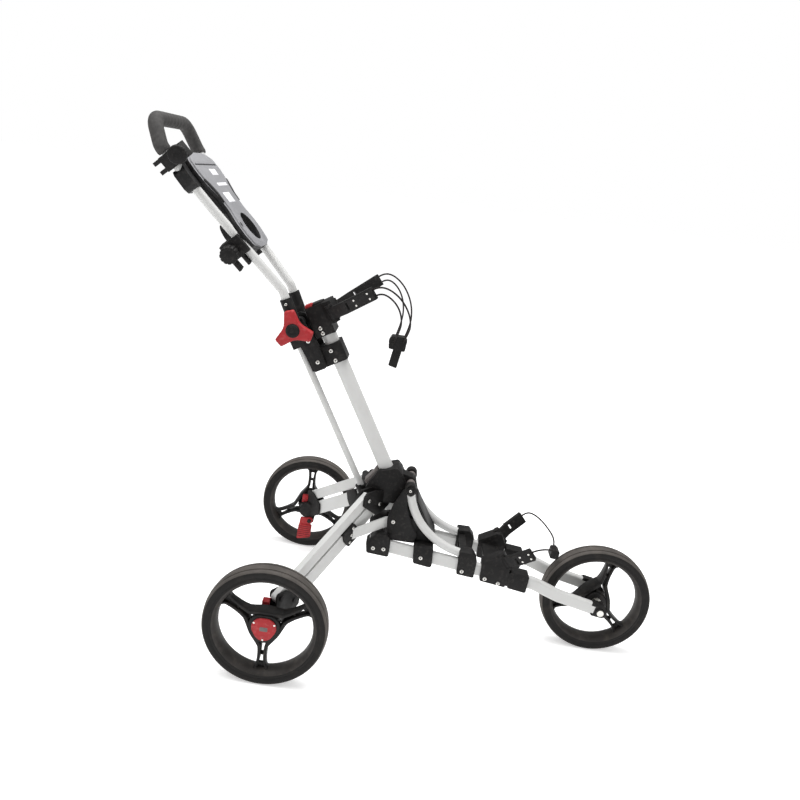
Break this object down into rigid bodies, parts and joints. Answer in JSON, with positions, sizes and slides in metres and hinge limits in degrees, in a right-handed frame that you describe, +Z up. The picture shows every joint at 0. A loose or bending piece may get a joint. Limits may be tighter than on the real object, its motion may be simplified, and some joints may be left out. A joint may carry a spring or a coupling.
{
  "type": "golf push trolley",
  "caption": "Folding golf bag push trolley with splayed rear legs, single front wheel, bag cradles with elastic cords, console and foam loop handle.",
  "frame": {"origin": "on the floor, below the centre of the bounding box", "axes": "+X forward towards the front wheel, +Y to the left, +Z up"},
  "size_m": [1.294, 0.644, 1.158],
  "materials": {
    "white_paint": "gloss",
    "black_plastic": "satin",
    "rim_plastic": "satin",
    "red_plastic": "satin",
    "tyre_rubber": "matte",
    "grip_foam": "matte",
    "console_grey": "satin",
    "console_dark": "satin",
    "warm_grey": "satin",
    "steel": "satin",
    "elastic": "matte"
  },
  "bodies": {
    "base": {"lower_casting": "black_plastic", "hinge_pin": "steel", "curved_bar_right": "white_paint", "curved_bar_left": "white_paint", "frame_tube_right": "white_paint", "frame_tube_left": "white_paint", "mid_brace": "black_plastic", "rear_end_block": "black_plastic", "lower_bag_bracket": "black_plastic", "fork_lug_right": "black_plastic", "fork_lug_left": "black_plastic", "front_axle": "steel", "lower_arm_right": "black_plastic", "lower_arm_left": "black_plastic", "lower_cord": "elastic", "lower_toggle": "black_plastic"},
    "front_wheel": {"front_tyre": "tyre_rubber", "front_rim": "rim_plastic", "front_bearings": "steel"},
    "mast_unit": {"upper_hub": "black_plastic", "mast_tube": "white_paint", "mast_screws": "steel", "link_rod": "white_paint", "handle_bracket": "black_plastic", "upper_bag_bracket": "black_plastic", "upper_arm_right": "black_plastic", "upper_arm_left": "black_plastic", "upper_cord_outer": "elastic", "upper_cord_inner": "elastic", "cord_hook": "black_plastic"},
    "latch": {"latch_lever": "warm_grey"},
    "leg_upper_right": {"leg_upper_bar_right": "white_paint"},
    "leg_upper_left": {"leg_upper_bar_left": "white_paint"},
    "leg_lower_right": {"leg_lower_bar_right": "white_paint", "leg_stay_right": "white_paint"},
    "leg_lower_left": {"leg_lower_bar_left": "white_paint", "leg_stay_left": "white_paint"},
    "axle_unit_right": {"axle_housing_right": "black_plastic", "rear_axle_right": "steel"},
    "axle_unit_left": {"axle_housing_left": "black_plastic", "rear_axle_left": "steel"},
    "button_right": {"release_button_right": "red_plastic"},
    "button_left": {"release_button_left": "red_plastic"},
    "rear_wheel_right": {"rear_tyre_right": "tyre_rubber", "rear_rim_right": "rim_plastic", "hub_cap_right": "red_plastic"},
    "rear_wheel_left": {"rear_tyre_left": "tyre_rubber", "rear_rim_left": "rim_plastic", "hub_cap_left": "red_plastic"},
    "brake": {"brake_pedal": "red_plastic"},
    "handle": {"handle_loop": "white_paint", "grip_foam": "grip_foam", "handle_yoke": "black_plastic", "console_base": "console_dark", "console_cover": "console_grey", "umbrella_clamp": "black_plastic", "accessory_mount": "black_plastic"},
    "angle_clamp": {"angle_knob": "red_plastic"},
    "umbrella_knob": {"clamp_knob": "black_plastic"},
    "mount_knob": {"accessory_knob": "black_plastic"}
  },
  "joints": [
    {"name": "mast_fold", "type": "hinge", "parent": "base", "child": "mast_unit", "pos_m": [0.018, 0, 0.374], "axis": [0, 1, 0], "range_deg": [0, 100]},
    {"name": "latch_lift", "type": "hinge", "parent": "mast_unit", "child": "latch", "pos_m": [-0.06895, 0, 0.38866], "axis": [0, 1, 0], "range_deg": [0, 35], "stiffness_Nm_per_rad": 0.4, "springref_deg": -11.46},
    {"name": "handle_fold", "type": "hinge", "parent": "mast_unit", "child": "handle", "pos_m": [-0.29674, 0, 0.72385], "axis": [0, 1, 0], "range_deg": [-120, 10]},
    {"name": "front_wheel_spin", "type": "hinge", "parent": "base", "child": "front_wheel", "pos_m": [0.512, 0, 0.135], "axis": [0, 1, 0], "continuous": true},
    {"name": "leg_upper_right", "type": "hinge", "parent": "mast_unit", "child": "leg_upper_right", "pos_m": [-0.085, -0.062, 0.338], "axis": [0.7848, -0.6198, 0], "range_deg": [0, 40]},
    {"name": "leg_lower_right", "type": "hinge", "parent": "mast_unit", "child": "leg_lower_right", "pos_m": [-0.06021, -0.03061, 0.32], "axis": [0.7848, -0.6198, 0], "range_deg": [0, 40]},
    {"name": "axle_level_right", "type": "hinge", "parent": "leg_upper_right", "child": "axle_unit_right", "pos_m": [-0.23994, -0.25819, 0.17565], "axis": [0.7848, -0.6198, 0], "range_deg": [-40, 0]},
    {"name": "rear_wheel_spin_right", "type": "hinge", "parent": "axle_unit_right", "child": "rear_wheel_right", "pos_m": [-0.254, -0.3015, 0.135], "axis": [0, 1, 0], "continuous": true},
    {"name": "release_right", "type": "slide", "parent": "axle_unit_right", "child": "button_right", "axis": [0, 0, -1], "range_m": [0, 0.004], "stiffness_N_per_m": 400, "springref_m": -0.002},
    {"name": "leg_upper_left", "type": "hinge", "parent": "mast_unit", "child": "leg_upper_left", "pos_m": [-0.085, 0.062, 0.338], "axis": [-0.7848, -0.6198, 0], "range_deg": [0, 40]},
    {"name": "leg_lower_left", "type": "hinge", "parent": "mast_unit", "child": "leg_lower_left", "pos_m": [-0.06021, 0.03061, 0.32], "axis": [-0.7848, -0.6198, 0], "range_deg": [0, 40]},
    {"name": "axle_level_left", "type": "hinge", "parent": "leg_upper_left", "child": "axle_unit_left", "pos_m": [-0.23994, 0.25819, 0.17565], "axis": [-0.7848, -0.6198, 0], "range_deg": [-40, 0]},
    {"name": "rear_wheel_spin_left", "type": "hinge", "parent": "axle_unit_left", "child": "rear_wheel_left", "pos_m": [-0.254, 0.3015, 0.135], "axis": [0, 1, 0], "continuous": true},
    {"name": "release_left", "type": "slide", "parent": "axle_unit_left", "child": "button_left", "axis": [0, 0, -1], "range_m": [0, 0.004], "stiffness_N_per_m": 400, "springref_m": -0.002},
    {"name": "brake_step", "type": "hinge", "parent": "axle_unit_left", "child": "brake", "pos_m": [-0.242, 0.241, 0.106], "axis": [0, 1, 0], "range_deg": [-18, 0]},
    {"name": "angle_clamp_turn", "type": "hinge", "parent": "handle", "child": "angle_clamp", "pos_m": [-0.29674, -0.074, 0.72385], "axis": [0, 1, 0], "range_deg": [0, 270]},
    {"name": "umbrella_knob_turn", "type": "hinge", "parent": "handle", "child": "umbrella_knob", "pos_m": [-0.55918, -0.1468, 1.07572], "axis": [0.0802, -0.9752, -0.2062], "range_deg": [0, 270]},
    {"name": "mount_knob_turn", "type": "hinge", "parent": "handle", "child": "mount_knob", "pos_m": [-0.44678, -0.09878, 0.88052], "axis": [0.0738, -0.9806, -0.1814], "range_deg": [0, 270]}
  ],
  "couplings": [
    {"joint": "leg_upper_right", "follows": "mast_fold", "ratio": 0.4},
    {"joint": "leg_lower_right", "follows": "mast_fold", "ratio": 0.4},
    {"joint": "axle_level_right", "follows": "mast_fold", "ratio": -0.4},
    {"joint": "leg_upper_left", "follows": "mast_fold", "ratio": 0.4},
    {"joint": "leg_lower_left", "follows": "mast_fold", "ratio": 0.4},
    {"joint": "axle_level_left", "follows": "mast_fold", "ratio": -0.4}
  ]
}
